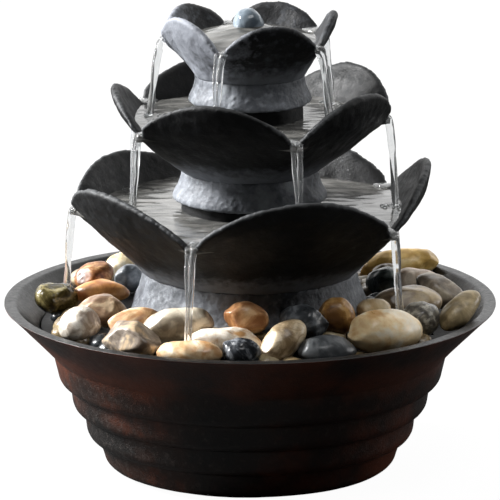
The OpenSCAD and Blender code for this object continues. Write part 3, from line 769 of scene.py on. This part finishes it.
def swell(x, y, spots):
    """Height in mm of ripples at a place in mm: slow swell, and rings where streams land."""
    height = 0.3 * noise.noise(Vector((x / 14, y / 5, 3.1)))
    height += 0.07 * noise.noise(Vector((x / 5, y / 2.2, 7.7)))
    for sx, sy in spots:
        far = math.hypot(x - sx, y - sy)
        height += RING_HEIGHT * math.cos(far * 1.5) * math.exp(-far / RING_REACH)
    return height


def water_level(dish, r, angle, rim):
    """Height of a pool: level, with a dip where it runs over a notch."""
    v = 1 - dish.openness(angle)
    run = max(0.0, (r - RUN_START * rim) / ((1 - RUN_START) * rim))
    return dish.water_z - RUN_DIP * v ** 2 * run ** 2


def make_pool(name, dish, body, spots):
    """The skin of a pool from the post in its middle to just inside the petals' walls."""
    columns, rings, thick = 200, 34, 3
    rows = []
    for i in range(rings + 1):
        share = i / rings
        row = []
        for j in range(columns):
            angle = dish.first_notch + 360 * j / columns
            v = 1 - dish.openness(angle)
            rim = dish.outer_r(dish.water_z - 1, angle) - 2.2 + 2.0 * v ** 3
            r = dish.post_r + (rim - dish.post_r) * share
            flat = polar(r, angle, 0) / MM
            calm = min(1, 4 * (1 - share) + 0.2)
            z = water_level(dish, r, angle, rim) + swell(flat.x, flat.y, spots) * calm
            row.append(polar(r, angle, z))
        rows.append(row)
    under = [[point - Vector((0, 0, thick * MM)) for point in row] for row in reversed(rows)]
    piece = lofted(name, rows + under + [rows[0]], caps=False)
    activate(piece)
    bpy.ops.object.mode_set(mode="EDIT")
    bpy.ops.mesh.select_all(action="SELECT")
    bpy.ops.mesh.remove_doubles(threshold=0.01 * MM)
    bpy.ops.mesh.normals_make_consistent(inside=False)
    bpy.ops.object.mode_set(mode="OBJECT")
    dress(piece, POOL, body, "water")


MOUND_HEIGHT, MOUND_R = 9.5, 37         # mm, of the water that the pump pushes up
DOME_R, DOME_TALL, DOME_Z = 8.2, 1.3, 236


def make_spring():
    """The top cup's water: a mound that the pump pushes up, and the dome over the outlet."""
    dish = TOP
    rows = []
    columns, rings, centre = 160, 44, 0.05
    for i in range(rings + 1):
        share = (i / rings) ** 0.85
        row = []
        for j in range(columns):
            angle = dish.first_notch + 360 * j / columns
            v = 1 - dish.openness(angle)
            rim = dish.outer_r(dish.water_z - 1, angle) - 2.0 + 2.0 * v ** 3
            r = centre + (rim - centre) * share
            flat = polar(r, angle, 0) / MM
            z = water_level(dish, r, angle, rim) + MOUND_HEIGHT * (1 - min(1, r / MOUND_R))
            z += swell(flat.x, flat.y, []) * min(1, r / 10)
            row.append(polar(r, angle, z))
        rows.append(row)
    base = [polar(34, dish.first_notch + 360 * k / columns, dish.water_z - 4)
            for k in range(columns)]
    piece = lofted("top_water", rows + [base])
    dress(piece, POOL, "top_tier", "water")
    bpy.ops.object.select_all(action="DESELECT")
    bpy.ops.mesh.primitive_uv_sphere_add(segments=48, ring_count=32, radius=DOME_R * MM,
                                         location=(0, 0, 0))
    dome = bpy.context.object
    dome.name = "outlet_dome"
    bpy.ops.object.mode_set(mode="EDIT")
    bpy.ops.transform.resize(value=(1, 1, DOME_TALL), center_override=(0, 0, 0))
    bpy.ops.transform.translate(value=(-1 * MM, 0, DOME_Z * MM))
    bpy.ops.object.mode_set(mode="OBJECT")
    roughen(dome, 9, 2.6)
    dress(dome, DOME, "top_tier", "water")


STREAM_HALF_WIDTH = 3.6  # mm, at the notch
LEAD, STEPS, SIDES = 4, 27, 14           # rows before the notch and below it, and points in a row


def fall(name, dish, angle, z_end, out, strands, turn):
    """One falling stream, as one strand or two side by side, from a notch down to z_end. Turn
    makes each one waver in its own way."""
    width = STREAM_HALF_WIDTH
    a = math.radians(angle)
    outward = Vector((math.cos(a), math.sin(a), 0))
    sideways = Vector((-math.sin(a), math.cos(a), 0))
    up = Vector((0, 0, 1))
    lip = dish.outer_r(dish.notch_z, angle)
    lip_z = dish.notch_z + 1.6
    drop = lip_z - z_end
    start, start_z = lip - 9, dish.water_z - 0.4
    path = [(start + 9 * i / LEAD, start_z - (start_z - lip_z) * (i / LEAD) ** 2)
            for i in range(LEAD)]
    for i in range(STEPS):
        share = i / (STEPS - 1)
        path.append((lip + out * share ** 0.9, lip_z - drop * share ** 1.8))
    pieces = []
    for strand in range(strands):
        rows = []
        for k, (r, z) in enumerate(path):
            ahead = path[min(k + 1, len(path) - 1)]
            before = path[max(k - 1, 0)]
            along = (outward * (ahead[0] - before[0]) + up * (ahead[1] - before[1])).normalized()
            normal = along.cross(sideways)
            fallen = max(0, k - LEAD + 1) / STEPS
            wide = width * (1.9 - 1.1 * min(1, k / 6)) * (1 - 0.3 * fallen)
            wide *= 1 + (0.16 * math.sin(fallen * 14 + turn)
                         + 0.08 * math.sin(fallen * 31 - turn)) * fallen ** 0.5
            thick = min(wide, 1.6 + 0.8 * min(1, k / 7)) * (1 - 0.15 * fallen)
            if strands > 1:
                wide, thick = (0.66 - 0.2 * strand) * wide, (0.85 - 0.15 * strand) * thick
            twist = math.pi * strand + 0.5 * math.sin(5 * fallen + turn)
            shift = 0.5 * width * (strands - 1) * min(1, k / 5) * (1 - 0.4 * fallen)
            centre = (outward * r + up * z + sideways * shift * math.cos(twist)
                      + normal * 0.5 * shift * math.sin(twist))
            centre += sideways * (0.35 * math.sin(11 * fallen + 2 * turn) * fallen
                                  + 0.5 * math.sin(6 * fallen + 3 * strand + turn) * fallen ** 0.5)
            rows.append([(centre + sideways * wide * math.cos(t)
                          + normal * thick * math.sin(t)) * MM
                         for t in [2 * math.pi * j / SIDES for j in range(SIDES)]])
        pieces.append(lofted(f"{name}_{strand}" if strand else name, rows))
    piece = joined(name, pieces) if strands > 1 else pieces[0]
    finish_with(piece, "SUBSURF", levels=1, render_levels=1)
    dress(piece, CLEAR, None, "water")
    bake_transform(piece)


# how far a stream flies out in mm, its strands at each notch, the body that it lands on, and
# the height in mm where it ends
STREAMS = {
    "bottom": (4.5, (2, 1, 1, 1, 1), "deck", 90.0),
    "middle": (5.0, (2, 1, 1, 1, 2), "bottom_tier", 139.6),
    "top": (7.5, (2, 2, 1, 1, 1), "middle_tier", 188.6),
}
landings = {}
for tier, dish in TIERS.items():
    out, strands, body, z_end = STREAMS[tier]
    spots = [polar(dish.outer_r(dish.notch_z, angle) + out, angle, 0) / MM
             for angle in dish.notches()]
    landings[body] = [(spot.x, spot.y) for spot in spots]
    for number, angle in enumerate(dish.notches()):
        fall(f"{tier}_fall_{number + 1}", dish, angle, z_end, out, strands[number],
             number * 1.7)

BEADS = 9                # at each landing


def splash(name, spots, level, body):
    """Small bubbles that stand on a pool where the streams land."""
    chance = random.Random(len(name))
    beads = []
    for x, y in spots:
        for _ in range(BEADS):
            away, way = chance.uniform(1.5, 8), chance.uniform(0, 6.283)
            size = chance.uniform(0.5, 1.5)
            bpy.ops.object.select_all(action="DESELECT")
            bpy.ops.mesh.primitive_uv_sphere_add(segments=20, ring_count=12, radius=size * MM,
                                                 location=(0, 0, 0))
            bead = bpy.context.object
            bpy.ops.object.mode_set(mode="EDIT")
            bpy.ops.transform.resize(value=(1, 1, 0.7), center_override=(0, 0, 0))
            place = ((x + away * math.cos(way)) * MM, (y + away * math.sin(way)) * MM, level * MM)
            bpy.ops.transform.translate(value=place)
            bpy.ops.object.mode_set(mode="OBJECT")
            beads.append(bead)
    dress(joined(name, beads), CLEAR, body, "water")


splash("bottom_splash", landings["bottom_tier"], 140.3, "bottom_tier")
splash("middle_splash", landings["middle_tier"], 189.3, "middle_tier")
make_pool("bottom_pool", BOTTOM, "bottom_tier", landings["bottom_tier"])
make_pool("middle_pool", MIDDLE_DISH, "middle_tier", landings["middle_tier"])
make_spring()


# ---- CAD nodes that stay as they are ----

KEPT = {
    "stone_deck": DECK, "rubber_feet": RUBBER, "cord_grommet": RUBBER, "bottom_tube_bush": RUBBER,
    "middle_tube_bush": RUBBER, "nozzle_seal": RUBBER, "outlet_nozzle": ABS, "riser_tube": VINYL,
    "pump_housing": ABS, "pump_back_cap": ABS, "pump_cord_gland": RUBBER, "pump_stator_core": STEEL,
    "coil_bobbin": ACETAL, "pump_coil": COPPER, "rotor_magnet": FERRITE, "impeller_wheel": ACETAL,
    "impeller_shaft": GROUND_CERAMIC, "front_shaft_bush": RUBBER, "rear_shaft_bush": RUBBER,
    "volute_cover": ABS, "volute_o_ring": RUBBER, "strainer_cover": ABS, "flow_dial": DIAL_ABS,
    "suction_cups": RUBBER,
}
for node, material in KEPT.items():
    mesh = frame["nodes"][node].data
    mesh.materials.clear()
    mesh.materials.append(material)
